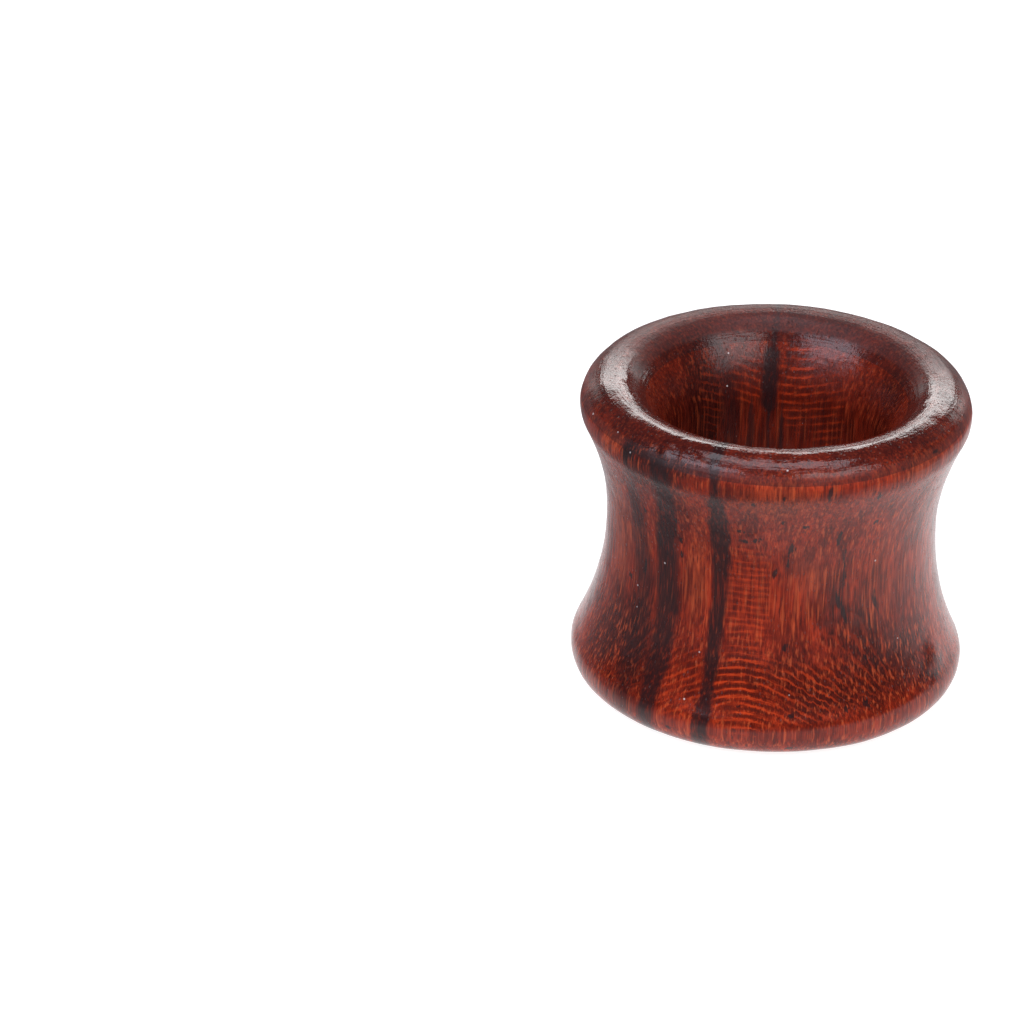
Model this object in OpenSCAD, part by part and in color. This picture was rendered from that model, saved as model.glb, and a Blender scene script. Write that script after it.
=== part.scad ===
// Double-flared ear tunnel turned from one piece of hardwood.
// Millimetres. It stands on its lower flare, with its axis on Z and its underside at z = 0.

/* [Body] */
// Diameter at the waist, which is the nominal gauge the ear lobe is stretched to
gauge_d = 14; // [10:0.5:24]
// Height over both flares
length = 13.88; // [11:0.02:18]
// How far the waist lies above the middle of the height
waist_rise = 0.23; // [-0.6:0.01:0.6]

/* [Flares] */
// How far the upper flare stands out past the waist, on the radius
upper_flare = 1.25; // [0.9:0.025:1.8]
// How far the lower flare stands out past the waist, on the radius
lower_flare = 1.325; // [0.9:0.025:1.8]
// Radius of the rounded outer edge of each flare
lip_r = 1.28; // [0.9:0.02:1.5]
// Width of the flat ring that each end was sanded to
land = 0.1; // [0.05:0.01:0.3]

/* [Hollow] */
// Thickness of the wood between the waist and the straight bore
wall = 2.4; // [2:0.05:2.8]
// Depth below each end at which the arc of its trumpet mouth would stand upright
mouth_depth = 4.2; // [3.6:0.05:5.2]
// How far that arc would undercut the bore, on the radius, so that it ends at the bore's edge
undercut = 0.1; // [0.05:0.01:0.2]
// Radius of the rounding from each end face into its mouth
mouth_lip_r = 1.28; // [0.9:0.02:1.6]

/* [Hidden] */
$fn = 160;

gauge_r = gauge_d / 2;
throat_r = gauge_r - wall;
mouth_start_r = throat_r - undercut;
waist_z = length / 2 + waist_rise;
// how far the cuts run out past the wood
air = 1;
// how far neighbouring arcs bite into each other, so that they cross cleanly
bite = 0.0005;
// the step that the radii of the long arcs are rounded to
step = 0.0001;
blank_r = gauge_r + max(upper_flare, lower_flare) + air;
clear_r = blank_r + length * length;
wood = [0.44, 0.17, 0.09];

// Radius, to a whole step, of the arc that leaves a wall upright and runs into a small
// circle. across and along give that circle's centre from where the arc starts, and
// shift is its radius, negative where the arc runs round the outside of the circle.
function touching_r(across, along, shift) =
    step * round((across * across + along * along - shift * shift) / (2 * (across - shift)) / step);

// The point at distance d from one centre, on the line from another centre through it
function beyond(centre, other, d) = centre + d * (centre - other) / norm(centre - other);

// What the lathe takes off one end of the blank, with the waist at y = 0
// and the end face at y = height
module end_cuts(flare, height) {
    top = height + air;
    // outer lip, which stands out as far as the flare
    lip = [gauge_r + flare - lip_r, height - lip_r];
    difference() {
        polygon([lip, saddle_centre(lip), [clear_r, 0], [clear_r, top], [lip[0], top]]);
        translate(lip) circle(lip_r);
    }
    // saddle from the waist to the outer lip
    intersection() {
        translate(saddle_centre(lip)) circle(saddle_centre(lip)[0] - gauge_r);
        polygon([[throat_r, 0], [gauge_r, 0], [clear_r, -air], [clear_r, top], [throat_r, top]]);
    }
    // inner rounding, no larger than the rim between the mouth and the land can hold
    rim = lip[0] - land - mouth_start_r;
    round_r = min(mouth_lip_r, 0.9 * rim);
    inner = [mouth_start_r + rim, height - round_r];
    // trumpet mouth from the bore's edge to the inner rounding
    upright = height - mouth_depth;
    mouth_r = touching_r(rim, inner[1] - upright, round_r - bite);
    mouth = [mouth_start_r + mouth_r, upright];
    difference() {
        polygon([mouth, [mouth_start_r - air, upright], [mouth_start_r - air, top], [inner[0], top]]);
        translate(mouth) circle(mouth_r);
    }
    open_side = beyond(inner, mouth, round_r + air);
    difference() {
        polygon([inner, open_side, [open_side[0], top], [inner[0], top]]);
        translate(inner) circle(round_r);
    }
}

// Centre of the arc that leaves the waist upright and runs into the outer lip
function saddle_centre(lip) = [gauge_r + touching_r(lip[0] - gauge_r, lip[1], bite - lip_r), 0];

module tunnel() {
    color(wood) rotate_extrude() difference() {
        translate([throat_r, 0]) square([blank_r - throat_r, length]);
        translate([0, waist_z]) end_cuts(upper_flare, length - waist_z);
        translate([0, waist_z]) mirror([0, 1]) end_cuts(lower_flare, waist_z);
    }
}

tunnel();
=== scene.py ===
import math

import bpy
from mathutils import Matrix, Vector, noise


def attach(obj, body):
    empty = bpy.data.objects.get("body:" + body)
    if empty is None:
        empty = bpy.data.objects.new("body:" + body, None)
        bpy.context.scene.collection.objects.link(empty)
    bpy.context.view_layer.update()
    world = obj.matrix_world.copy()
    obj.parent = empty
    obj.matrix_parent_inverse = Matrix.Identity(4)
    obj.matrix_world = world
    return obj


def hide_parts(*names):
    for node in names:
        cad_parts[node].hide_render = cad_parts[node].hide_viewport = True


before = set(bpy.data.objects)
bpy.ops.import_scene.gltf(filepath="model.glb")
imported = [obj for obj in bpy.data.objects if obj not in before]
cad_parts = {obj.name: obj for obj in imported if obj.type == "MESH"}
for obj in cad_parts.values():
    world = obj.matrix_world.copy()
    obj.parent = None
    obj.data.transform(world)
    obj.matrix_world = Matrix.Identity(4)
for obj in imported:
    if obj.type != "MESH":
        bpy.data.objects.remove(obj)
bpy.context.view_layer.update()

mm = 0.001  # the shape's numbers are in millimetres, Blender's in metres

# the turned shape: down to the mouth's rounding the same values as in the part's source, the rest
# for this model alone
tunnelShape = {
    "waistRadius": 7.0,
    "height": 13.88,
    "waistRise": 0.23,
    "upperFlare": 1.25,
    "lowerFlare": 1.325,
    "lipRadius": 1.28,
    "flatRing": 0.1,
    "wall": 2.4,
    "mouthDepth": 4.2,
    "undercut": 0.1,
    "mouthRounding": 1.28,
    "stepsAround": 384,
    "stepsAlong": 256,
    "arcSteps": {"saddle": 60, "lip": 40, "rounding": 40, "mouth": 60},
    "edgeSoftening": 5,  # rounds of smoothing where the mouth meets the bore
    "edgeReach": 0.35,  # how far past the bore's radius they reach
    "unevenness": 0.024,  # how far hand sanding left the surface off round
    "unevenOften": (0.22, 0.6),  # how often that turns in a millimetre, broadly and finely
    "facets": 0.011,  # how deep the small strokes of the sanding are
    "facetsOften": (0.9, 2.1),
    "beadFacets": 2.0,  # how much deeper they are over the upper bead
    "beadFrom": 12.6,  # height at which that bead begins
    "outsideFrom": 6.2,  # radius past which a spot counts as outside
    # places where the sanding or the wood itself leaves the round: angle from the front in degrees,
    # height, how far each reaches in degrees and up, and how far the surface stands out
    "swellings": [
        (66.0, 2.6, 5.0, 0.6, 0.09),  # the knot
        (64.0, 2.0, 16.0, 0.8, -0.03),  # the hollow round it
        (-86.0, 13.1, 22.0, 1.2, 0.05),
        (-84.0, 9.6, 25.0, 1.6, -0.03),
        (84.0, 8.6, 25.0, 1.5, -0.03),
        (-42.0, 13.45, 24.0, 0.5, -0.06),
        (-20.0, 13.95, 18.0, 0.3, 0.035),
        (20.0, 13.6, 18.0, 0.7, 0.03),
        (-38.0, 13.42, 1.6, 0.24, -0.035),
        (-34.5, 13.5, 2.0, 0.2, 0.02),
        (-31.0, 13.4, 1.6, 0.26, -0.03),
        (-26.0, 13.46, 1.8, 0.22, -0.035),
        (-22.0, 13.4, 2.2, 0.2, 0.02),
        (-18.5, 13.38, 1.6, 0.2, -0.03),
        (14.0, 13.3, 2.0, 0.2, -0.025),
        (1.5, 13.86, 1.3, 0.12, -0.03),
        (-9.0, 13.84, 1.6, 0.14, -0.02),
    ],
}


def arcPoints(centre, radius, start, end, count):
    turns = [start + (end - start) * i / (count - 1) for i in range(count)]
    return [(centre[0] + radius * math.cos(t), centre[1] + radius * math.sin(t)) for t in turns]


# radius of the arc that leaves a wall upright and runs into a circle: across and along lead from the
# arc's start to that circle's centre, and shift is its radius, negative where the arc stays outside it
def touchingRadius(across, along, shift):
    return (across * across + along * along - shift * shift) / (2 * (across - shift))


# from the waist over the lip and into the mouth as far as the bore's edge, with the waist at height 0
def halfSection(shape, flare, height):
    waist, lipRadius, steps = shape["waistRadius"], shape["lipRadius"], shape["arcSteps"]
    lip = (waist + flare - lipRadius, height - lipRadius)
    saddleRadius = touchingRadius(lip[0] - waist, lip[1], -lipRadius)
    saddle = (waist + saddleRadius, 0.0)
    toLip = math.atan2(lip[1] - saddle[1], lip[0] - saddle[0])
    points = arcPoints(saddle, saddleRadius, math.pi, toLip, steps["saddle"])
    points += arcPoints(lip, lipRadius, toLip - math.pi, math.pi / 2, steps["lip"])[1:]
    boreRadius = waist - shape["wall"]
    start = boreRadius - shape["undercut"]
    rim = lip[0] - shape["flatRing"] - start
    rounding = min(shape["mouthRounding"], 0.9 * rim)  # no larger than the rim can hold
    inner = (start + rim, height - rounding)
    upright = height - shape["mouthDepth"]
    mouthRadius = touchingRadius(rim, inner[1] - upright, rounding)
    mouth = (start + mouthRadius, upright)
    toInner = math.atan2(inner[1] - mouth[1], inner[0] - mouth[0])
    points += arcPoints(inner, rounding, math.pi / 2, toInner, steps["rounding"])
    boreEdge = math.pi - math.acos((mouth[0] - boreRadius) / mouthRadius)
    points += arcPoints(mouth, mouthRadius, toInner, boreEdge, steps["mouth"])[1:]
    return points


# the closed section cut into even steps: up the bore, over the top, down the outside and back
def turnedSection(shape):
    waistHeight = shape["height"] / 2 + shape["waistRise"]
    upper = halfSection(shape, shape["upperFlare"], shape["height"] - waistHeight)
    lower = halfSection(shape, shape["lowerFlare"], waistHeight)
    upper = [(r, waistHeight + z) for r, z in upper]
    lower = [(r, waistHeight - z) for r, z in lower]
    middle = (upper[-1][0], (upper[-1][1] + lower[-1][1]) / 2)
    loop = [middle] + upper[::-1] + lower[1:] + [middle]
    run = [0.0]
    for a, b in zip(loop, loop[1:]):
        run.append(run[-1] + math.dist(a, b))
    steps, at, even = shape["stepsAlong"], 0, []
    for i in range(steps):
        goal = run[-1] * i / steps
        while run[at + 1] < goal:
            at += 1
        part = (goal - run[at]) / max(run[at + 1] - run[at], 1e-9)
        even.append((loop[at][0] + part * (loop[at + 1][0] - loop[at][0]),
                     loop[at][1] + part * (loop[at + 1][1] - loop[at][1])))
    return softenedEdges(even, shape)


# sanding leaves the bore's edges soft
def softenedEdges(section, shape):
    reach = shape["waistRadius"] - shape["wall"] + shape["edgeReach"]
    steps = len(section)
    for _ in range(shape["edgeSoftening"]):
        old = section[:]
        for i in range(steps):
            if old[i][0] < reach:
                before, after = old[i - 1], old[(i + 1) % steps]
                section[i] = tuple((b + 2 * own + a) / 4 for b, own, a in zip(before, old[i], after))
    return section


# fineShare is how strong the finer unevenness is beside the broad one
def broadAndFine(spot, often, fineShare, shift):
    return noise.noise(spot * often[0]) + fineShare * noise.noise(spot * often[1] + Vector(shift))


# how far the surface stands out from the exact round at one place
def offRound(angle, radius, height, shape):
    spot = Vector((radius * math.sin(angle), -radius * math.cos(angle), height))
    outside = radius > shape["outsideFrom"]
    onBead = shape["beadFacets"] if outside and height > shape["beadFrom"] else 1.0
    amount = shape["unevenness"] * broadAndFine(spot, shape["unevenOften"], fineShare=0.45, shift=(9, 4, 2))
    strokes = broadAndFine(spot, shape["facetsOften"], fineShare=0.4, shift=(3, 8, 5))
    amount += shape["facets"] * onBead * strokes
    if not outside:
        return amount
    for at, up, wide, tall, out in shape["swellings"]:
        turn = (math.degrees(angle) - at + 180) % 360 - 180
        reach = (turn / wide) ** 2 + ((height - up) / tall) ** 2
        if reach < 9:  # past that a swelling is too flat to matter
            amount += out * math.exp(-reach)
    return amount


# the section is carried round the axis, one row of faces for each of its steps
def makeTunnel(shape):
    section = turnedSection(shape)
    rows, columns = len(section), shape["stepsAround"]
    points = []
    for i, (radius, height) in enumerate(section):
        before, after = section[i - 1], section[(i + 1) % rows]
        length = math.dist(before, after)
        outward = (after[1] - before[1]) / -length, (after[0] - before[0]) / length
        for j in range(columns):
            angle = 2 * math.pi * j / columns + math.pi  # the first column is at the back
            off = offRound(angle, radius, height, shape)
            r, z = radius + off * outward[0], height + off * outward[1]
            points.append((r * math.sin(angle) * mm, -r * math.cos(angle) * mm, z * mm))
    faces, places = [], []
    for i in range(rows):
        for j in range(columns):
            faces.append((i * columns + j, i * columns + (j + 1) % columns,
                          (i + 1) % rows * columns + (j + 1) % columns, (i + 1) % rows * columns + j))
            left, right = j / columns, (j + 1) / columns
            low, high = i / rows, (i + 1) / rows
            places += [(left, low), (right, low), (right, high), (left, high)]
    mesh = bpy.data.meshes.new("turnedTunnel")
    mesh.from_pydata(points, [], faces)
    chart = mesh.uv_layers.new(name="OFBake")
    for loop, place in zip(chart.data, places):
        loop.uv = place
    mesh.shade_smooth()
    mesh.validate()
    piece = bpy.data.objects.new("turnedTunnel", mesh)
    bpy.context.scene.collection.objects.link(piece)
    return piece


# in cubic metres, below 0 where the faces look inwards
def enclosedVolume(mesh):
    return sum(Vector(mesh.vertices[p.vertices[0]].co).dot(p.normal) * p.area for p in mesh.polygons) / 3


tunnel = makeTunnel(tunnelShape)
volume = enclosedVolume(tunnel.data)
if volume < 0:
    tunnel.data.flip_normals()
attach(tunnel, "root")
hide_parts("tunnel")
print("turned the tunnel:", len(tunnel.data.polygons), "faces,",
      round(abs(volume) / mm ** 3), "cubic millimetres")


# helpers for nodes
def place(tree, kind, **settings):
    node = tree.nodes.new(kind)
    for name, value in settings.items():
        setattr(node, name, value)
    return node


def feed(tree, socket, value):
    if isinstance(value, bpy.types.NodeSocket):
        tree.links.new(value, socket)
    else:
        socket.default_value = value


def calc(tree, operation, *values):
    node = place(tree, "ShaderNodeMath", operation=operation)
    for socket, value in zip(node.inputs, values):
        feed(tree, socket, value)
    return node.outputs[0]


def product(tree, *values):
    result = values[0]
    for value in values[1:]:
        result = calc(tree, "MULTIPLY", result, value)
    return result


def total(tree, *values):
    result = values[0]
    for value in values[1:]:
        result = calc(tree, "ADD", result, value)
    return result


def inverse(tree, value):
    return calc(tree, "SUBTRACT", 1.0, value)


# 0 below low and 1 above high, with a soft run between them
def ramp(tree, value, low, high):
    node = place(tree, "ShaderNodeMapRange", interpolation_type="SMOOTHSTEP")
    for name, item in (("Value", value), ("From Min", low), ("From Max", high)):
        feed(tree, node.inputs[name], item)
    return node.outputs["Result"]


# comes in softly over one run of the value and goes again over a later one
def band(tree, value, comes, goes):
    return product(tree, ramp(tree, value, *comes), inverse(tree, ramp(tree, value, *goes)))


lineTop = 14.0  # millimetres, the height that a drawn line reaches


# follows a drawn line: points are (height, value) in millimetres
def follow(tree, height, points):
    values = [value for _, value in points]
    spare = 0.01
    low, high = min(values) - spare, max(values) + spare
    node = place(tree, "ShaderNodeFloatCurve")
    line = node.mapping.curves[0]
    while len(line.points) < len(points):
        line.points.new(0.5, 0.5)
    for spot, (h, value) in zip(line.points, sorted(points)):
        spot.location = (h / lineTop, (value - low) / (high - low))
    node.mapping.update()
    feed(tree, node.inputs["Value"], calc(tree, "DIVIDE", height, lineTop))
    return calc(tree, "MULTIPLY_ADD", node.outputs[0], high - low, low)


def blendColours(tree, amount, a, b, kind="MIX"):
    node = place(tree, "ShaderNodeMix", data_type="RGBA", blend_type=kind)
    feed(tree, node.inputs["Factor"], amount)
    feed(tree, node.inputs["A"], a)
    feed(tree, node.inputs["B"], b)
    return node.outputs["Result"]


def numbersAsVector(tree, *values):
    node = place(tree, "ShaderNodeCombineXYZ")
    for socket, value in zip(node.inputs, values):
        feed(tree, socket, value)
    return node.outputs[0]


def vectorCalc(tree, operation, *values):
    node = place(tree, "ShaderNodeVectorMath", operation=operation)
    for socket, value in zip(node.inputs, values):
        feed(tree, socket, value)
    return node.outputs[0]


def texture(tree, kind, vector, detail=None):
    node = place(tree, kind)
    feed(tree, node.inputs["Vector"], vector)
    node.inputs["Scale"].default_value = 1.0
    if detail is not None:
        feed(tree, node.inputs["Detail"], detail)
    return node.outputs


# inputs are numbers with their first values, or vectors where that value is None
def startGroup(name, inputs, outputs):
    group = bpy.data.node_groups.new(name, "ShaderNodeTree")
    for label, value in inputs.items():
        kind = "NodeSocketVector" if value is None else "NodeSocketFloat"
        socket = group.interface.new_socket(label, in_out="INPUT", socket_type=kind)
        if value is not None:
            socket.default_value = value
    for label, kind in outputs.items():
        group.interface.new_socket(label, in_out="OUTPUT", socket_type="NodeSocket" + kind)
    into = group.nodes.new("NodeGroupInput")
    out = group.nodes.new("NodeGroupOutput")
    return group, into.outputs, out.inputs


def use(tree, group, **values):
    node = place(tree, "ShaderNodeGroup", node_tree=group)
    for socket in node.inputs:
        if socket.name in values:
            feed(tree, socket, values[socket.name])
    return node.outputs


# groups of the wood, with their lengths in millimetres

# where a point lies on the turned piece: Around is counted at the waist's radius from the front,
# BackAround from the back, both to the right as the camera sees them
def placesGroup():
    group, _, out = startGroup("placesOnThePiece", {}, {
        "Spot": "Vector", "Around": "Float", "BackAround": "Float", "Height": "Float",
        "Inside": "Float", "Round": "Vector"})
    chart = place(group, "ShaderNodeTexCoord")
    spot = place(group, "ShaderNodeVectorMath", operation="SCALE")
    feed(group, spot.inputs[0], chart.outputs["Object"])
    spot.inputs["Scale"].default_value = 1 / mm
    parts = place(group, "ShaderNodeSeparateXYZ")
    feed(group, parts.inputs[0], spot.outputs[0])
    x, y, z = parts.outputs
    radius = calc(group, "SQRT", total(group, product(group, x, x), product(group, y, y)))
    waist = tunnelShape["waistRadius"]
    backwards = calc(group, "MULTIPLY", y, -1.0)
    around = calc(group, "MULTIPLY", calc(group, "ARCTAN2", x, backwards), waist)
    backAround = calc(group, "MULTIPLY", calc(group, "ARCTAN2", x, y), waist)
    inside = inverse(group, ramp(group, radius, *wood["mouthEdge"]))
    feed(group, out["Spot"], spot.outputs[0])
    feed(group, out["Around"], around)
    feed(group, out["BackAround"], backAround)
    feed(group, out["Height"], z)
    feed(group, out["Inside"], inside)
    # the same spot with its third number round the piece, for marks that run that way
    aside = calc(group, "SUBTRACT", backAround, around)
    arc = calc(group, "MULTIPLY_ADD", inside, aside, around)
    feed(group, out["Round"], numbersAsVector(group, radius, z, arc))
    return group


# grain that is long up the piece and narrow across it
def grainGroup():
    group, into, out = startGroup("grain", {
        "Spot": None, "Wide": 0.15, "Long": 2.0, "Detail": 2.0, "Low": 0.35, "High": 0.65,
        "Seed": 0.0}, {"Amount": "Float"})
    across = calc(group, "DIVIDE", 1.0, into["Wide"])
    along = calc(group, "DIVIDE", 1.0, into["Long"])
    size = numbersAsVector(group, across, across, along)
    stretched = vectorCalc(group, "MULTIPLY_ADD", into["Spot"], size, into["Seed"])
    cloud = texture(group, "ShaderNodeTexNoise", stretched, into["Detail"])
    feed(group, out["Amount"], ramp(group, cloud["Fac"], into["Low"], into["High"]))
    return group


# one dark layer of the wood, where Across is within Half of Centre
def layerGroup():
    group, into, out = startGroup("darkLayer", {
        "Across": 0.0, "Centre": 0.0, "Half": 0.3, "Soft": 0.1}, {"Amount": "Float"})
    away = calc(group, "ABSOLUTE", calc(group, "SUBTRACT", into["Across"], into["Centre"]))
    low = calc(group, "SUBTRACT", into["Half"], into["Soft"])
    high = calc(group, "ADD", into["Half"], into["Soft"])
    feed(group, out["Amount"], inverse(group, ramp(group, away, low, high)))
    return group


# one leaning fleck or cloud, gone at 1.1 of its reach; Edge is the share at which its fading starts
def fleckGroup():
    group, into, out = startGroup("fleck", {
        "Around": 0.0, "Height": 0.0, "Ragged": 0.0, "At": 0.0, "Up": 0.0, "Wide": 0.1,
        "Tall": 0.3, "Lean": 0.0, "Edge": 0.55}, {"Amount": "Float"})
    up = calc(group, "SUBTRACT", into["Height"], into["Up"])
    aside = calc(group, "SUBTRACT", into["Around"], into["At"])
    side = calc(group, "SUBTRACT", aside, calc(group, "MULTIPLY", up, into["Lean"]))
    a = calc(group, "DIVIDE", side, into["Wide"])
    b = calc(group, "DIVIDE", up, into["Tall"])
    reach = calc(group, "SQRT", total(group, product(group, a, a), product(group, b, b)))
    reach = calc(group, "ADD", reach, into["Ragged"])
    feed(group, out["Amount"], inverse(group, ramp(group, reach, into["Edge"], 1.1)))
    return group


# fine ripple lines that arch over Middle; Bend is how steeply they fall away from it
def rippleGroup():
    group, into, out = startGroup("ripple", {
        "Around": 0.0, "Height": 0.0, "Stray": 0.0, "Middle": 0.0, "Bend": 0.8, "Spacing": 0.3},
        {"Lines": "Float", "Shade": "Float", "Hatch": "Float"})
    side = calc(group, "SUBTRACT", into["Around"], into["Middle"])
    roundness = 2.0
    far = calc(group, "SQRT", calc(group, "MULTIPLY_ADD", side, side, roundness * roundness))
    fall = calc(group, "MULTIPLY", calc(group, "SUBTRACT", far, roundness), into["Bend"])
    level = total(group, into["Height"], fall, into["Stray"])
    phase = calc(group, "DIVIDE", level, into["Spacing"])
    wave = calc(group, "SINE", calc(group, "MULTIPLY", phase, 2 * math.pi))
    # short streaks along the same lines break them up
    streaks = {"oftenAcross": 1.4, "oftenUp": 8.0, "detail": 2.0, "strength": 2.4}  # often: in a millimetre
    spot = numbersAsVector(group, calc(group, "MULTIPLY", side, streaks["oftenAcross"]),
                           calc(group, "MULTIPLY", level, streaks["oftenUp"]))
    hatch = texture(group, "ShaderNodeTexNoise", spot, streaks["detail"])["Fac"]
    wave = calc(group, "MULTIPLY_ADD", calc(group, "SUBTRACT", hatch, 0.5), streaks["strength"], wave)
    fades = {"Lines": (wave, 0.3, 1.15), "Shade": (wave, -0.1, -0.9), "Hatch": (hatch, 0.4, 0.62)}
    for name, values in fades.items():
        feed(group, out[name], ramp(group, *values))
    return group


# tiny spots strewn over the wood; Share is how many of the cells hold one
def specksGroup():
    group, into, out = startGroup("specks", {
        "Spot": None, "Apart": 0.3, "Long": 1.0, "Size": 0.2, "Share": 0.3}, {"Amount": "Float"})
    across = calc(group, "DIVIDE", 1.0, into["Apart"])
    along = calc(group, "DIVIDE", across, into["Long"])
    size = numbersAsVector(group, across, across, along)
    cells = texture(group, "ShaderNodeTexVoronoi", vectorCalc(group, "MULTIPLY", into["Spot"], size))
    lot = place(group, "ShaderNodeSeparateColor")
    feed(group, lot.inputs[0], cells["Color"])
    chosen = calc(group, "LESS_THAN", lot.outputs[0], into["Share"])
    # from half the size up to 1.3 times
    own = calc(group, "MULTIPLY", into["Size"], calc(group, "MULTIPLY_ADD", lot.outputs[1], 0.8, 0.5))
    near = inverse(group, ramp(group, cells["Distance"], calc(group, "MULTIPLY", own, 0.5), own))
    feed(group, out["Amount"], calc(group, "MULTIPLY", near, chosen))
    return group


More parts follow.
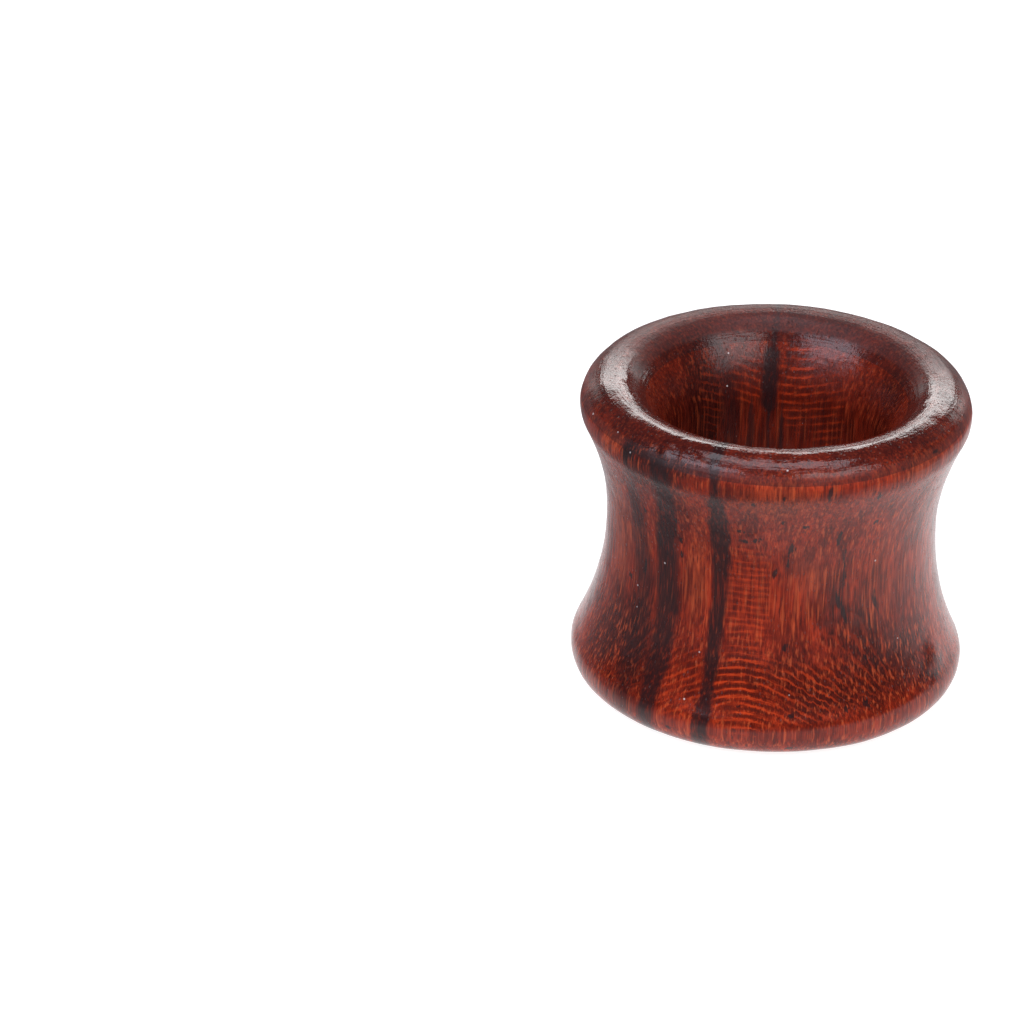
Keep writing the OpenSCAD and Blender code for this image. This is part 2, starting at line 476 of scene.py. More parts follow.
# the wood: lengths in millimetres, "at" being an arc at the waist's radius from the front or the back
wood = {
    "paleOrange": (0.588, 0.094, 0.028, 1.0),
    "flame": (0.608, 0.055, 0.0115, 1.0),
    "orangeBrown": (0.53, 0.049, 0.0124, 1.0),
    "redBrown": (0.251, 0.02, 0.0059, 1.0),
    "darkRed": (0.063, 0.0076, 0.0048, 1.0),
    "blackBrown": (0.0187, 0.0068, 0.0076, 1.0),
    "dust": (0.7, 0.62, 0.6, 1.0),
    "mouthEdge": (6.5, 6.95),  # radii between which the mouth's figure gives way to the outside's
    "straying": (0.3, 0.12),  # how far all that is drawn wanders, broadly and finely
    "raggedness": 1.2,
    # how much of that raggedness the edges of spots have, and the share of their reach where they fade
    "cloudEdge": (0.7, 0.2),
    "rippleEdge": (0.4, 0.6),
    "fleckEdge": (1.0, 0.55),
    # how wide and how long each grain is, its detail, where it fades in and is full, and its seed
    "grains": {
        "strayWide": (0.5, 1.6, 2.0, 0.0, 1.0, 0.0),
        "strayFine": (0.07, 0.55, 1.0, 0.0, 1.0, 7.0),
        "patch": (1.1, 3.0, 3.0, 0.3, 0.62, 3.0),
        "strokes": (0.15, 2.0, 2.0, 0.36, 0.64, 11.0),
        "fibre": (0.06, 1.3, 1.0, 0.25, 0.75, 19.0),
        "mottle": (0.3, 0.7, 2.0, 0.3, 0.6, 47.0),
        "dashes": (0.07, 0.7, 1.0, 0.58, 0.72, 37.0),
        "pale": (0.12, 2.4, 2.0, 0.52, 0.72, 27.0),
        "breaks": (0.1, 1.2, 2.0, 0.3, 0.5, 31.0),
        "rubbed": (0.22, 0.6, 2.0, 0.2, 0.8, 43.0),
        "sanded": (0.15, 1.2, 2.0, 0.2, 0.8, 53.0),
    },
    # how strongly a grain darkens the tone it lies on, and what it multiplies that tone by
    "darkening": {
        "strokes": (0.76, (0.5, 0.38, 0.42, 1.0)),
        "fibre": (0.78, (0.4, 0.28, 0.34, 1.0)),
        "mottle": (0.5, (0.5, 0.35, 0.4, 1.0)),
    },
    "dashes": 0.7,  # how strongly the dark dashes show
    "pale": 0.6,  # and the pale streaks
    "foot": {"fades": (1.75, 2.05), "straying": 0.3, "strength": 0.35},
    # the dark red over the upper bead, weaker at the front, and the painted shade that darkens the inside of
    # the mouth
    "bead": {"fades": (13.25, 13.75), "ragged": 0.3, "middle": 0.1, "middleFades": (1.6, 2.6),
             "weakest": 0.2, "more": 0.4},
    "mouthPaintedShade": 0.58,
    "layerBreaks": (0.64, 0.36),  # how dark the layers stay where fibres break them, and how much more
    "fleckStrength": 0.88,
    "pores": {"Apart": 0.16, "Long": 1.6, "Size": 0.3, "Share": 0.3},
    "poreStrength": (0.25, 0.6),  # everywhere, and how much more over the bead
    "specksOfDust": {"Apart": 0.55, "Long": 1.0, "Size": 0.09, "Share": 0.1},
    "dustStrength": 0.7,
    "ripple": {"shade": 0.62, "hatch": 0.45, "stray": 0.22},
    # near-black layers: centre lines and half widths over the height, and how soft their edges are
    "layers": [
        {"side": "front", "soft": 0.2, "strength": 0.9,
         "centre": [(0.0, -4.5), (2.0, -4.45), (4.0, -4.4), (6.0, -4.48), (7.2, -4.62), (10.0, -4.38),
                    (12.0, -4.27), (13.2, -4.45)],
         "half": [(0.0, 0.3), (1.5, 0.35), (3.0, 0.5), (5.0, 0.55), (7.2, 0.6), (10.0, 0.55),
                  (12.0, 0.45), (13.5, 0.5)]},
        {"side": "front", "soft": 0.12, "strength": 0.9,
         "centre": [(0.0, -2.25), (2.0, -2.2), (4.0, -2.12), (6.0, -2.08), (8.0, -2.0), (10.0, -2.05),
                    (12.0, -2.08), (13.2, -2.15)],
         "half": [(0.0, 0.24), (2.0, 0.29), (4.0, 0.27), (6.0, 0.3), (8.0, 0.36), (10.0, 0.4),
                  (11.6, 0.36), (12.4, 0.2), (13.5, 0.22)]},
        {"side": "front", "soft": 0.35, "strength": 0.55,
         "centre": [(0.0, -5.75), (2.0, -5.7), (4.0, -5.6), (5.5, -5.75), (7.0, -6.05), (9.0, -6.2),
                    (10.5, -6.1), (13.0, -5.85)],
         "half": [(0.0, 0.4), (2.0, 0.5), (4.0, 0.6), (5.5, 0.5), (7.0, 0.6), (9.0, 0.55), (10.5, 0.3),
                  (11.4, 0.1), (13.0, 0.25)]},
        {"side": "back", "soft": 0.18, "strength": 0.93,
         "centre": [(0.0, -1.11), (3.4, -0.84), (7.7, -0.49), (9.9, -0.42), (10.5, -0.52), (11.3, -0.52),
                    (12.0, -0.48), (13.4, -0.28)],
         "half": [(0.0, 0.21), (3.4, 0.17), (7.7, 0.08), (9.9, 0.1), (10.5, 0.49), (11.3, 0.48),
                  (12.0, 0.5), (12.8, 0.16), (13.4, 0.1)]},
        {"side": "back", "soft": 0.12, "strength": 0.75,
         "centre": [(0.0, 0.14), (4.3, 0.21), (7.7, 0.38), (9.6, 0.38), (10.3, 0.35), (13.4, 1.13)],
         "half": [(0.0, 0.14), (4.3, 0.14), (7.7, 0.13), (9.6, 0.15), (10.2, 0.03), (13.4, 0.04)]},
        {"side": "back", "soft": 0.4, "strength": 0.6,
         "centre": [(0.0, -3.09), (4.3, -3.03), (7.7, -3.09), (10.7, -3.17), (13.4, -4.13)],
         "half": [(0.0, 0.31), (4.3, 0.28), (7.7, 0.57), (10.7, 0.59), (12.1, 0.46), (13.4, 0.47)]},
        {"side": "back", "soft": 0.12, "strength": 0.7,
         "centre": [(0.0, 3.15), (4.3, 3.27), (9.2, 3.09), (13.4, 4.13)],
         "half": [(0.0, 0.18), (4.3, 0.15), (7.3, 0.12), (9.2, 0.01), (13.4, 0.02)]},
        {"side": "back", "soft": 0.08, "strength": 0.75,
         "centre": [(0.0, -2.0), (4.3, -1.86), (8.0, -1.63), (9.8, -1.63), (13.4, -2.45)],
         "half": [(0.0, 0.1), (4.3, 0.08), (8.0, 0.17), (9.5, 0.2), (10.5, 0.08), (11.4, 0.01),
                  (13.4, 0.09)]},
    ],
    # soft clouds of another tone, seen from the front or in the mouth: tone, strength, at, height,
    # reach across and up, and lean
    "clouds": {
        "front": [
            ("darkRed", 0.85, 5.9, 3.6, 3.4, 2.2, 0.0),
            ("darkRed", 0.8, 3.9, 5.3, 1.7, 2.6, -0.3),
            ("darkRed", 0.6, 2.2, 2.7, 1.4, 1.0, 0.0),
            ("darkRed", 0.35, 0.9, 3.9, 1.0, 0.9, 0.0),
            ("darkRed", 0.5, 2.3, 6.2, 0.7, 1.1, -0.3),
            ("darkRed", 0.5, 2.9, 7.6, 0.45, 1.6, 0.0),
            ("darkRed", 0.55, 2.3, 10.2, 0.4, 1.6, 0.1),
            ("darkRed", 0.75, -7.3, 3.9, 2.0, 3.0, 0.0),
            ("darkRed", 0.7, -5.7, 4.0, 1.0, 3.0, -0.05),
            ("darkRed", 0.4, -6.2, 9.4, 1.1, 2.6, 0.0),
            ("darkRed", 0.75, -5.3, 12.2, 0.9, 1.3, 0.0),
            ("redBrown", 0.4, -1.0, 10.4, 1.0, 1.6, 0.0),
            ("darkRed", 0.5, 2.4, 3.1, 2.6, 1.6, 0.0),
            ("darkRed", 0.4, 0.9, 5.0, 0.9, 2.2, -0.1),
            ("darkRed", 0.3, 6.6, 10.0, 2.2, 2.8, 0.0),
            ("darkRed", 0.5, -3.6, 10.6, 0.35, 1.6, 0.0),
            ("darkRed", 0.5, -5.9, 7.0, 0.7, 1.8, 0.0),
            ("darkRed", 0.45, -5.6, 1.2, 1.6, 1.2, 0.0),
            ("flame", 0.8, -0.9, 7.6, 1.5, 2.4, 0.0),
            ("paleOrange", 0.3, 1.6, 8.2, 1.0, 1.5, 0.0),
            ("darkRed", 0.4, 5.6, 5.6, 2.6, 2.4, 0.0),
            ("darkRed", 0.45, 3.9, 2.8, 1.6, 1.5, 0.0),
            ("darkRed", 0.6, -5.6, 3.0, 1.8, 1.9, 0.0),
            ("darkRed", 0.95, -4.4, 13.1, 3.2, 0.7, 0.0),
            ("paleOrange", 0.6, -3.1, 7.3, 0.6, 2.6, 0.0),
            ("redBrown", 0.6, 6.3, 6.0, 1.9, 1.9, 0.0),
            ("darkRed", 0.5, -3.7, 11.8, 0.5, 1.2, 0.0),
            ("redBrown", 0.2, 5.9, 11.0, 1.4, 1.2, 0.0),
            ("redBrown", 0.8, -3.3, 4.2, 0.9, 2.2, 0.0),
            ("darkRed", 0.36, 2.4, 3.5, 5.5, 2.2, 0.0),
            ("blackBrown", 0.93, -5.85, 12.75, 0.42, 0.8, 0.0),
            ("blackBrown", 0.85, 7.75, 2.4, 0.95, 0.8, 0.0),
            ("redBrown", 0.7, 7.8, 2.45, 0.45, 0.35, 0.0),
            ("paleOrange", 0.75, -6.95, 12.75, 0.85, 0.7, 0.3),
            ("flame", 0.9, 1.6, 13.1, 4.6, 0.6, 0.0),
            ("paleOrange", 0.45, 1.95, 7.9, 0.32, 1.3, -0.25),
            ("paleOrange", 0.4, -2.95, 8.9, 0.45, 3.2, 0.0),
            ("flame", 0.5, -0.9, 5.2, 1.1, 2.0, 0.0),
            ("paleOrange", 0.6, 0.2, 12.2, 2.1, 1.3, 0.0),
            ("paleOrange", 0.7, 6.2, 12.8, 1.9, 0.8, 0.0),
            ("paleOrange", 0.25, 5.0, 8.0, 1.2, 2.4, -0.1),
            # partly the wood's paler tone and partly painted light: this cloud lightens the left flank where
            # more light falls
            ("paleOrange", 1.0, -7.8, 8.8, 1.3, 3.8, 0.0),
        ],
        "back": [
            ("darkRed", 0.85, -5.08, 10.88, 1.64, 3.96, 0.0),
            ("blackBrown", 0.9, -4.4, 10.44, 1.28, 3.39, 0.0),
            ("darkRed", 0.6, 5.44, 10.21, 0.45, 2.73, 0.0),
            ("flame", 0.6, 0.11, 10.72, 0.15, 1.05, 0.0),
            ("flame", 0.6, -1.28, 9.99, 0.21, 0.71, 0.0),
            ("flame", 0.5, -2.2, 10.15, 0.23, 0.6, 0.0),
            ("blackBrown", 0.6, -5.8, 10.7, 3.0, 2.2, 0.0),
            ("darkRed", 0.7, 8.4, 12.5, 2.2, 1.0, 0.0),
            # painted shade: these two dark red clouds darken the deep side walls of the mouth
            ("darkRed", 0.7, 9.2, 10.4, 3.2, 2.6, 0.0),
            ("darkRed", 0.7, -8.6, 10.6, 3.0, 2.6, 0.0),
            ("darkRed", 0.5, -2.6, 10.6, 1.2, 1.6, 0.0),
            ("flame", 1.0, 0.75, 10.5, 0.6, 1.3, 0.0),
            ("flame", 0.4, 5.22, 11.27, 0.71, 0.44, 0.0),
        ],
    },
    # black flecks and pits on the outside: at, height, reach across and up, and lean
    "flecks": [
        (0.93, 9.6, 0.13, 0.34, 0.15),
        (0.26, 8.35, 0.14, 0.34, 0.3),
        (0.86, 4.9, 0.14, 0.2, 0.2),
        (0.45, 12.4, 0.07, 0.15, 0.0),
        (-0.68, 11.98, 0.12, 0.12, 0.0),
        (1.27, 10.75, 0.1, 0.1, 0.0),
        (0.48, 11.0, 0.08, 0.12, 0.0),
        (-1.15, 10.35, 0.14, 0.1, 0.0),
        (-0.52, 9.95, 0.14, 0.13, 0.6),
        (-1.1, 9.85, 0.2, 0.12, 0.0),
        (4.85, 6.4, 0.15, 0.6, -0.28),
        (4.2, 4.05, 0.12, 0.15, 0.0),
        (3.2, 2.15, 0.12, 0.16, 0.0),
        (4.0, 2.2, 0.12, 0.2, -0.4),
        (1.1, 2.1, 0.15, 0.1, 0.0),
        (2.07, 12.65, 0.08, 0.55, 0.0),
        (4.05, 12.0, 0.09, 0.3, 0.0),
        (6.75, 13.12, 0.14, 0.08, 0.0),
        (4.35, 10.45, 0.1, 0.14, 0.0),
        (2.82, 9.95, 0.07, 0.5, 0.1),
        (3.18, 8.3, 0.05, 1.1, -0.05),
        (0.76, 8.7, 0.035, 0.9, 0.0),
        (7.45, 6.5, 0.05, 0.7, 0.0),
        (3.1, 6.7, 0.14, 0.5, -0.3),
        (3.3, 6.2, 0.14, 0.5, -0.3),
        (-0.84, 2.38, 0.07, 0.07, 0.0),
        (-3.88, 10.2, 0.11, 0.14, 0.0),
        (-3.8, 9.2, 0.1, 0.16, 0.0),
        (-3.82, 8.45, 0.1, 0.22, 0.0),
        (-5.85, 7.15, 0.11, 0.6, 0.05),
        (-6.8, 6.3, 0.13, 0.16, 0.0),
        (-5.55, 10.0, 0.13, 0.13, 0.0),
        (-3.42, 0.92, 0.14, 0.1, 0.0),
        (1.1, 0.6, 0.2, 0.1, 0.0),
    ],
    # where the ripple lines show: strength, at, height, reach across and up, and lean
    "rippled": {
        "front": {"middle": -0.77, "spacing": 0.3, "bend": 0.85, "flattens": (2.6, 7.8), "glow": 0.7,
                  "zones": [
                      (1.0, -0.65, 3.1, 1.7, 1.9, 0.0),
                      (0.6, 1.5, 2.95, 2.0, 1.4, 0.0),
                      (0.5, -0.85, 6.8, 1.05, 3.6, 0.0),
                      (0.32, 3.9, 3.9, 1.9, 2.2, -0.2),
                      (0.5, -3.3, 3.1, 1.2, 1.7, 0.0),
                      (0.25, -5.2, 3.6, 1.0, 1.8, 0.0),
                  ]},
        "back": {"middle": 0.7, "spacing": 0.36, "bend": -0.3, "flattens": None, "glow": 0.4,
                 "zones": [
                     (1.0, 1.26, 11.29, 1.33, 2.24, 0.0),
                     (0.65, 3.33, 10.37, 1.53, 1.93, 0.0),
                     (0.6, -1.95, 11.39, 1.26, 1.3, 0.0),
                     (0.4, -4.37, 10.99, 1.02, 1.94, 0.0),
                 ]},
    },
}

# how it is polished: how much rougher each place is, and the heights, arcs or both, in millimetres,
# over which that comes and goes
finish = {
    "polish": 0.17,
    "specular": 0.32,
    "fibre": 0.08,  # rougher between the fibres
    "mouthDeep": {"rougher": 0.08, "goes": (12.4, 13.3)},
    "pores": 0.2,  # rougher in the pores
    "beadFoot": {"rougher": 0.24, "comes": (12.7, 13.0), "goes": (13.22, 13.38)},
    "crest": {"rougher": -0.11, "comes": (13.45, 13.8)},
    "underBead": {"rougher": 0.1, "comes": (11.6, 12.4), "goes": (13.0, 13.3)},
    "farRim": {"rougher": 0.36, "comes": (13.2, 13.45), "arc": (9.5, 15.0)},
    "shoulders": {"rougher": 0.07, "comes": (13.2, 13.5), "arcComes": (4.0, 7.0), "arcGoes": (11.0, 13.0)},
    "reliefDepth": 0.007,  # millimetres
    "reliefStrength": 0.5,
    "relief": {"fibre": 0.4, "strokes": 0.7, "rubbed": 0.9, "pores": -1.6},
    "sanded": {"strength": 2.4, "comes": (12.0, 13.1)},  # marks of sanding round the bead
}


def grown(tree, spot, name):
    wide, long, detail, low, high, seed = wood["grains"][name]
    return use(tree, grain, Spot=spot, Wide=wide, Long=long, Detail=detail, Low=low, High=high,
               Seed=seed)["Amount"]


# the places on the piece, with all that is drawn on them straying with the fibres
def strayedPlaces(tree):
    at = use(tree, placesGroup())
    wide, fine = (grown(tree, at["Spot"], name) for name in ("strayWide", "strayFine"))
    byWide, byFine = wood["straying"]
    most = wood["raggedness"]
    stray = total(tree, calc(tree, "MULTIPLY_ADD", wide, byWide, -byWide / 2),
                  calc(tree, "MULTIPLY_ADD", fine, byFine, -byFine / 2))
    return {
        "spot": at["Spot"],
        "round": at["Round"],
        "height": at["Height"],
        "stray": stray,
        "ragged": calc(tree, "MULTIPLY_ADD", fine, most, -most / 2),
        "arc": {"front": total(tree, at["Around"], stray), "back": total(tree, at["BackAround"], stray)},
        "share": {"front": inverse(tree, at["Inside"]), "back": at["Inside"]},
    }


# how much of one row of a table of spots covers each point
def covered(tree, places, side, row, ragged, edge):
    at, up, wide, tall, lean = row
    return use(tree, fleck, Around=places["arc"][side], Height=places["height"], Ragged=ragged,
               Edge=edge, At=at, Up=up, Wide=wide, Tall=tall, Lean=lean)["Amount"]


def drawClouds(tree, places, colour):
    ragged, edge = wood["cloudEdge"]
    ragged = calc(tree, "MULTIPLY", places["ragged"], ragged)
    for side, rows in wood["clouds"].items():
        for tone, strength, *row in rows:
            amount = covered(tree, places, side, row, ragged, edge)
            amount = product(tree, amount, places["share"][side], strength)
            colour = blendColours(tree, amount, colour, wood[tone])
    return colour


def beadAmount(tree, places):
    bead = wood["bead"]
    ragged = calc(tree, "MULTIPLY", places["ragged"], bead["ragged"])
    edge = total(tree, places["height"], places["stray"], ragged)
    amount = product(tree, ramp(tree, edge, *bead["fades"]), places["share"]["front"])
    aside = calc(tree, "ABSOLUTE", calc(tree, "SUBTRACT", places["arc"]["front"], bead["middle"]))
    aside = ramp(tree, aside, *bead["middleFades"])
    return product(tree, amount, calc(tree, "MULTIPLY_ADD", aside, bead["more"], bead["weakest"]))


# the strokes and fibres keep to the tone they lie on
def drawFibres(tree, places, grains, dark, colour):
    for name, (strength, tone) in wood["darkening"].items():
        amount = calc(tree, "MULTIPLY", inverse(tree, grains[name]), strength)
        colour = blendColours(tree, amount, colour, tone, "MULTIPLY")
    dashes = calc(tree, "MULTIPLY", grown(tree, places["spot"], "dashes"), wood["dashes"])
    colour = blendColours(tree, dashes, colour, wood["darkRed"])
    pale = product(tree, grown(tree, places["spot"], "pale"), inverse(tree, dark), wood["pale"])
    return blendColours(tree, pale, colour, wood["paleOrange"])


def drawRipples(tree, places, colour):
    strength = wood["ripple"]
    ragged, edge = wood["rippleEdge"]
    ragged = calc(tree, "MULTIPLY", places["ragged"], ragged)
    for side, own in wood["rippled"].items():
        bend = own["bend"]
        if own["flattens"]:
            bend = product(tree, inverse(tree, ramp(tree, places["height"], *own["flattens"])), bend)
        figure = use(tree, ripple, Around=places["arc"][side], Height=places["height"],
                     Middle=own["middle"], Bend=bend, Spacing=own["spacing"],
                     Stray=calc(tree, "MULTIPLY", places["stray"], strength["stray"]))
        shown = 0.0
        for most, *row in own["zones"]:
            amount = covered(tree, places, side, row, ragged, edge)
            shown = calc(tree, "MAXIMUM", shown, calc(tree, "MULTIPLY", amount, most))
        shown = product(tree, shown, places["share"][side])
        shade = product(tree, shown, figure["Shade"], strength["shade"])
        lines = product(tree, shown, figure["Lines"], own["glow"])
        hatch = product(tree, shown, inverse(tree, figure["Hatch"]), strength["hatch"])
        for amount, tone in ((shade, "darkRed"), (lines, "flame"), (hatch, "darkRed")):
            colour = blendColours(tree, amount, colour, wood[tone])
    return colour


# dark layers, broken by redder fibres
def drawLayers(tree, places, colour):
    least, more = wood["layerBreaks"]
    breaks = calc(tree, "MULTIPLY_ADD", grown(tree, places["spot"], "breaks"), more, least)
    for item in wood["layers"]:
        centre, half = (follow(tree, places["height"], item[name]) for name in ("centre", "half"))
        amount = use(tree, layer, Across=places["arc"][item["side"]], Centre=centre, Half=half,
                     Soft=item["soft"])["Amount"]
        amount = product(tree, amount, item["strength"], breaks)
        colour = blendColours(tree, amount, colour, wood["blackBrown"])
    return colour


def drawFlecks(tree, places, colour):
    ragged, edge = wood["fleckEdge"]
    ragged = calc(tree, "MULTIPLY", places["ragged"], ragged)
    for row in wood["flecks"]:
        amount = covered(tree, places, "front", row, ragged, edge)
        amount = product(tree, amount, places["share"]["front"], wood["fleckStrength"])
        colour = blendColours(tree, amount, colour, wood["blackBrown"])
    return colour


def roughness(tree, places, fibre, pores):
    height, outward, inward = places["height"], places["share"]["front"], places["share"]["back"]
    aside = calc(tree, "ABSOLUTE", places["arc"]["front"])
    plain = calc(tree, "MULTIPLY_ADD", fibre, -finish["fibre"], finish["polish"] + finish["fibre"])
    deep = finish["mouthDeep"]
    mouthDeep = product(tree, inward, inverse(tree, ramp(tree, height, *deep["goes"])), deep["rougher"])
    # the foot of the bead is duller than its crest, and the wood under it was hardly polished
    foot, crest, under = finish["beadFoot"], finish["crest"], finish["underBead"]
    beadFoot = product(tree, band(tree, height, foot["comes"], foot["goes"]), outward, foot["rougher"])
    buffed = calc(tree, "MULTIPLY", ramp(tree, height, *crest["comes"]), crest["rougher"])
    underBead = product(tree, band(tree, height, under["comes"], under["goes"]), outward, under["rougher"])
    # the far rim is dull, and the rim's two shoulders slightly
    rim, sides = finish["farRim"], finish["shoulders"]
    farRim = product(tree, ramp(tree, aside, *rim["arc"]), ramp(tree, height, *rim["comes"]), rim["rougher"])
    shoulders = product(tree, band(tree, aside, sides["arcComes"], sides["arcGoes"]), outward,
                        ramp(tree, height, *sides["comes"]), sides["rougher"])
    return total(tree, plain, mouthDeep, calc(tree, "MULTIPLY", pores, finish["pores"]), beadFoot, buffed,
                 underBead, farRim, shoulders)


def relief(tree, places, grains, pores, dust):
    strength, marks = finish["relief"], finish["sanded"]
    sanded = grown(tree, places["round"], "sanded")
    onBead = calc(tree, "MULTIPLY", ramp(tree, places["height"], *marks["comes"]), marks["strength"])
    return total(tree, calc(tree, "MULTIPLY", grains["fibre"], strength["fibre"]),
                 calc(tree, "MULTIPLY", grains["strokes"], strength["strokes"]),
                 calc(tree, "MULTIPLY", grown(tree, places["spot"], "rubbed"), strength["rubbed"]),
                 product(tree, sanded, onBead), calc(tree, "MULTIPLY", pores, strength["pores"]), dust)


def rosewood():
    material = bpy.data.materials.new("waxedRosewood")
    material.use_nodes = True
    tree = material.node_tree
    tree.nodes.clear()
    places = strayedPlaces(tree)
    spot, height, outward = places["spot"], places["height"], places["share"]["front"]
    grains = {name: grown(tree, spot, name) for name in ("patch", "strokes", "fibre", "mottle")}

    colour = blendColours(tree, grains["patch"], wood["redBrown"], wood["orangeBrown"])
    colour = drawClouds(tree, places, colour)
    # the foot is redder, the bead is dark red, and painted shade darkens the inside of each mouth
    foot = wood["foot"]
    footEdge = total(tree, height, calc(tree, "MULTIPLY", places["stray"], foot["straying"]))
    below = inverse(tree, ramp(tree, footEdge, *foot["fades"]))
    colour = blendColours(tree, product(tree, below, outward, foot["strength"]), colour, wood["redBrown"])
    bead = beadAmount(tree, places)
    # painted shade: the inside of the mouth is blended towards dark red
    mouthShade = calc(tree, "MULTIPLY", places["share"]["back"], wood["mouthPaintedShade"])
    dark = calc(tree, "MAXIMUM", bead, mouthShade)
    colour = blendColours(tree, dark, colour, wood["darkRed"])
    colour = drawFibres(tree, places, grains, dark, colour)
    colour = drawRipples(tree, places, colour)
    colour = drawLayers(tree, places, colour)
    colour = drawFlecks(tree, places, colour)
    # open pores, most of them over the bead, and sanding dust
    pores = use(tree, specks, Spot=spot, **wood["pores"])["Amount"]
    everywhere, onBead = wood["poreStrength"]
    porous = calc(tree, "MULTIPLY_ADD", bead, onBead, everywhere)
    colour = blendColours(tree, product(tree, pores, porous), colour, wood["blackBrown"])
    dust = use(tree, specks, Spot=spot, **wood["specksOfDust"])["Amount"]
    colour = blendColours(tree, calc(tree, "MULTIPLY", dust, wood["dustStrength"]), colour, wood["dust"])

    shader = place(tree, "ShaderNodeBsdfPrincipled")
    feed(tree, shader.inputs["Base Color"], colour)
    feed(tree, shader.inputs["Roughness"], roughness(tree, places, grains["fibre"], pores))
    shader.inputs["Specular IOR Level"].default_value = finish["specular"]
    bump = place(tree, "ShaderNodeBump")
    bump.inputs["Strength"].default_value = finish["reliefStrength"]
    bump.inputs["Distance"].default_value = finish["reliefDepth"] * mm
    feed(tree, bump.inputs["Height"], relief(tree, places, grains, pores, dust))
    feed(tree, shader.inputs["Normal"], bump.outputs[0])
    out = place(tree, "ShaderNodeOutputMaterial")
    tree.links.new(shader.outputs[0], out.inputs["Surface"])
    return material


grain, layer, fleck, ripple, specks = grainGroup(), layerGroup(), fleckGroup(), rippleGroup(), specksGroup()
tunnel.data.materials.append(rosewood())
print("made the wood")


# the stage: metres, but for the pool of light
lighting = {
    "skyTone": (1.0, 1.0, 1.0, 1.0),
    "skyStrength": 0.08,
    "floorSeen": 0.9,  # how brightly the sheet glows for the camera
    "floorGlow": 0.9,  # and for the piece, within a round pool of light
    "poolAt": (11.5, 6.0),  # millimetres to the right of the axis and behind it
    "poolInner": 21.5,  # millimetres
    "poolOuter": 27.0,
    "sheetRings": (0.5, 2.0),  # radii
    "sheetSteps": 64,
    "sheetBelow": 0.00002,
    "sheetTones": ((0.3, 0.3, 0.3, 1.0), (0.34, 0.34, 0.34, 1.0)),
    "sheetGrain": 900.0,  # how often its grey varies in a metre
    "sheetRoughness": 0.9,
    "sheetSpecular": 0.1,
    "sheetLight": (1.0, 1.0, 1.0, 1.0),
    "lampsAway": 1.2,  # from the foot of the axis
    # softboxes: azimuth from straight behind, turning right, and elevation, both in degrees
    "softboxes": [
        {"name": "backPanel", "azimuth": 2.0, "elevation": 26.0, "wide": 0.92, "tall": 0.3,
         "bright": 6.8, "tone": (1.0, 1.0, 0.99)},
        {"name": "sidePanel", "azimuth": 35.0, "elevation": 13.0, "wide": 0.26, "tall": 0.45,
         "bright": 2.8, "tone": (1.0, 0.98, 0.97)},
        {"name": "leftPanel", "azimuth": -32.0, "elevation": 12.0, "wide": 0.3, "tall": 0.45,
         "bright": 1.3, "tone": (1.0, 0.98, 0.97)},
        {"name": "frontLeft", "azimuth": -130.0, "elevation": 39.0, "wide": 0.86, "tall": 0.5,
         "bright": 5.8, "tone": (0.86, 0.86, 1.0)},
        {"name": "frontRight", "azimuth": 137.0, "elevation": 38.0, "wide": 0.9, "tall": 0.5,
         "bright": 4.6, "tone": (0.97, 0.97, 1.0)},
        {"name": "frontTop", "azimuth": 180.0, "elevation": 85.0, "wide": 1.05, "tall": 0.6,
         "bright": 4.4, "tone": (0.9, 0.91, 1.0)},
    ],
}


def softbox(item):
    light = bpy.data.lights.new(item["name"], "AREA")
    light.shape = "RECTANGLE"
    light.size, light.size_y = item["wide"], item["tall"]
    light.energy = item["bright"] * math.pi * item["wide"] * item["tall"]
    light.color = item["tone"]
    lamp = bpy.data.objects.new(item["name"], light)
    bpy.context.scene.collection.objects.link(lamp)
    turn, lift = math.radians(item["azimuth"]), math.radians(item["elevation"])
    way = Vector((math.sin(turn) * math.cos(lift), math.cos(turn) * math.cos(lift), math.sin(lift)))
    lamp.location = way * lighting["lampsAway"]
    lamp.rotation_euler = (-way).to_track_quat("-Z", "Y").to_euler()
    lamp.visible_camera = False


# looks evenly white, but lights the piece only from a pool behind and beside it
def paleSheet():
    material = bpy.data.materials.new("paleSheet")
    material.use_nodes = True
    tree = material.node_tree
    shader = tree.nodes["Principled BSDF"]
    grey = place(tree, "ShaderNodeTexNoise")
    grey.inputs["Scale"].default_value = lighting["sheetGrain"]
    chart = place(tree, "ShaderNodeTexCoord")
    tree.links.new(chart.outputs["Object"], grey.inputs["Vector"])
    feed(tree, shader.inputs["Base Color"], blendColours(tree, grey.outputs["Fac"], *lighting["sheetTones"]))
    shader.inputs["Roughness"].default_value = lighting["sheetRoughness"]
    shader.inputs["Specular IOR Level"].default_value = lighting["sheetSpecular"]
    shader.inputs["Emission Color"].default_value = lighting["sheetLight"]
    away = place(tree, "ShaderNodeVectorMath", operation="DISTANCE")
    tree.links.new(chart.outputs["Object"], away.inputs[0])
    away.inputs[1].default_value = (lighting["poolAt"][0] * mm, lighting["poolAt"][1] * mm, 0.0)
    far = ramp(tree, away.outputs["Value"], lighting["poolInner"] * mm, lighting["poolOuter"] * mm)
    pool = calc(tree, "MULTIPLY", inverse(tree, far), lighting["floorGlow"])
    path = place(tree, "ShaderNodeLightPath")
    seen = calc(tree, "MULTIPLY", path.outputs["Is Camera Ray"], lighting["floorSeen"])
    feed(tree, shader.inputs["Emission Strength"], calc(tree, "MAXIMUM", seen, pool))
    return material


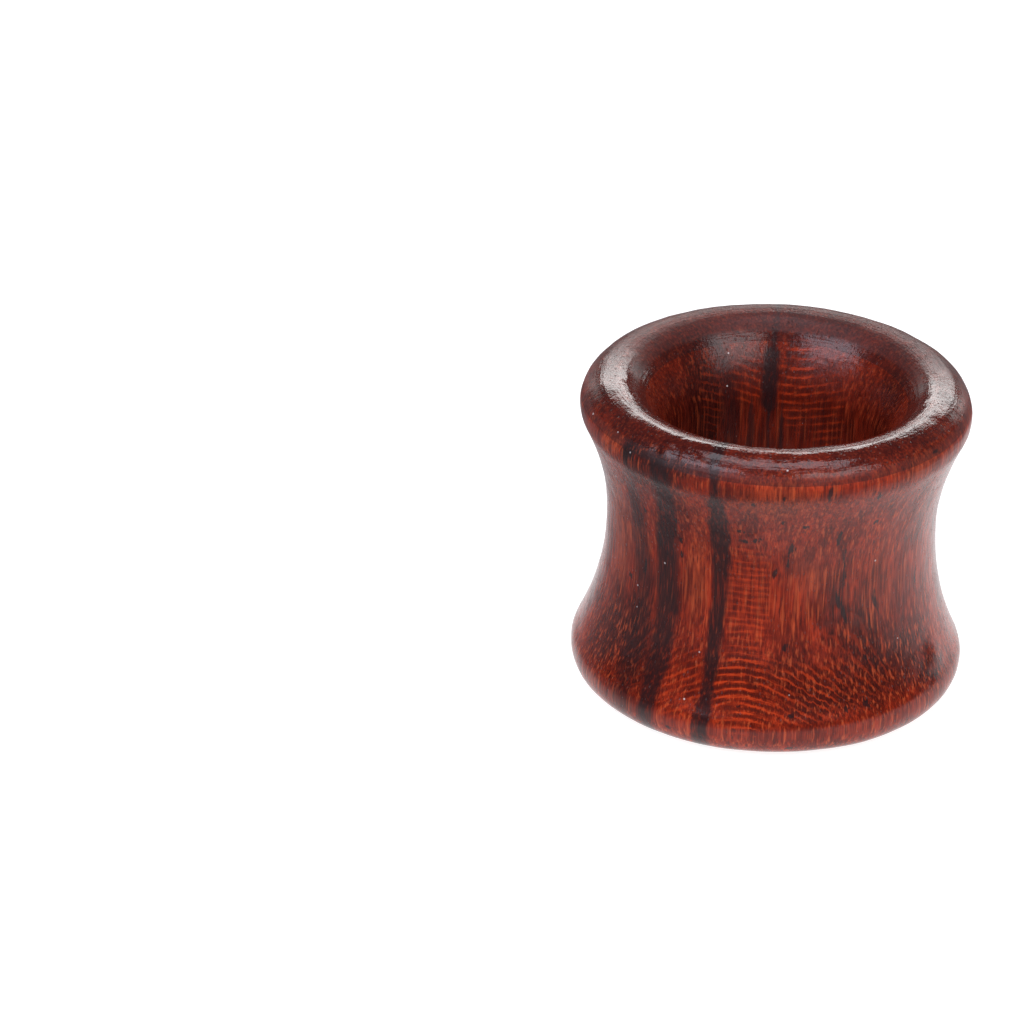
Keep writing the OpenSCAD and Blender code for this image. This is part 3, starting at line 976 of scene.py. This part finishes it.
def makeFloor():
    mesh = bpy.data.meshes.new("paleFloor")
    count = lighting["sheetSteps"]
    turns = [2 * math.pi * i / count for i in range(count)]
    points = [(0.0, 0.0, 0.0)]
    for radius in lighting["sheetRings"]:
        points += [(radius * math.cos(t), radius * math.sin(t), 0.0) for t in turns]
    faces = []
    for i in range(count):
        here, beside = 1 + i, 1 + (i + 1) % count
        faces += [(0, here, beside), (here, here + count, beside + count, beside)]
    mesh.from_pydata(points, [], faces)
    floor = bpy.data.objects.new("paleFloor", mesh)
    bpy.context.scene.collection.objects.link(floor)
    floor.location.z = -lighting["sheetBelow"]
    mesh.materials.append(paleSheet())


def makeSky():
    world = bpy.data.worlds.new("whiteTent")
    bpy.context.scene.world = world
    world.use_nodes = True
    sky = world.node_tree.nodes["Background"]
    sky.inputs["Color"].default_value = lighting["skyTone"]
    sky.inputs["Strength"].default_value = lighting["skyStrength"]


makeFloor()
makeSky()
for item in lighting["softboxes"]:
    softbox(item)
bpy.context.scene.view_settings.view_transform = "Standard"
print("set the floor and the lights")


# the camera, fitted to the outline of the piece: metres, degrees, and millimetres for lens and sensor,
# with the lens long because the photograph's is
view = {"back": 0.302631, "up": 0.162376, "pitch": 27.1648, "yaw": -2.0867, "roll": 1.7711,
        "lens": 281.25, "sensor": 36.0, "nearest": 0.01, "farthest": 10.0}


def makeCamera():
    data = bpy.data.cameras.new("photoCamera")
    data.lens, data.sensor_width = view["lens"], view["sensor"]
    data.clip_start, data.clip_end = view["nearest"], view["farthest"]
    data.dof.use_dof = False
    camera = bpy.data.objects.new("photoCamera", data)
    bpy.context.scene.collection.objects.link(camera)
    pitch, yaw, roll = (math.radians(view[name]) for name in ("pitch", "yaw", "roll"))
    ahead = Vector((math.sin(yaw) * math.cos(pitch), math.cos(yaw) * math.cos(pitch), -math.sin(pitch)))
    right = Vector((math.cos(yaw), -math.sin(yaw), 0.0))
    up = right.cross(ahead)
    rightRolled = right * math.cos(roll) + up * math.sin(roll)
    upRolled = up * math.cos(roll) - right * math.sin(roll)
    turn = Matrix((rightRolled, upRolled, -ahead)).transposed()
    camera.matrix_world = Matrix.Translation((0.0, -view["back"], view["up"])) @ turn.to_4x4()
    bpy.context.scene.camera = camera


makeCamera()
print("set the camera")
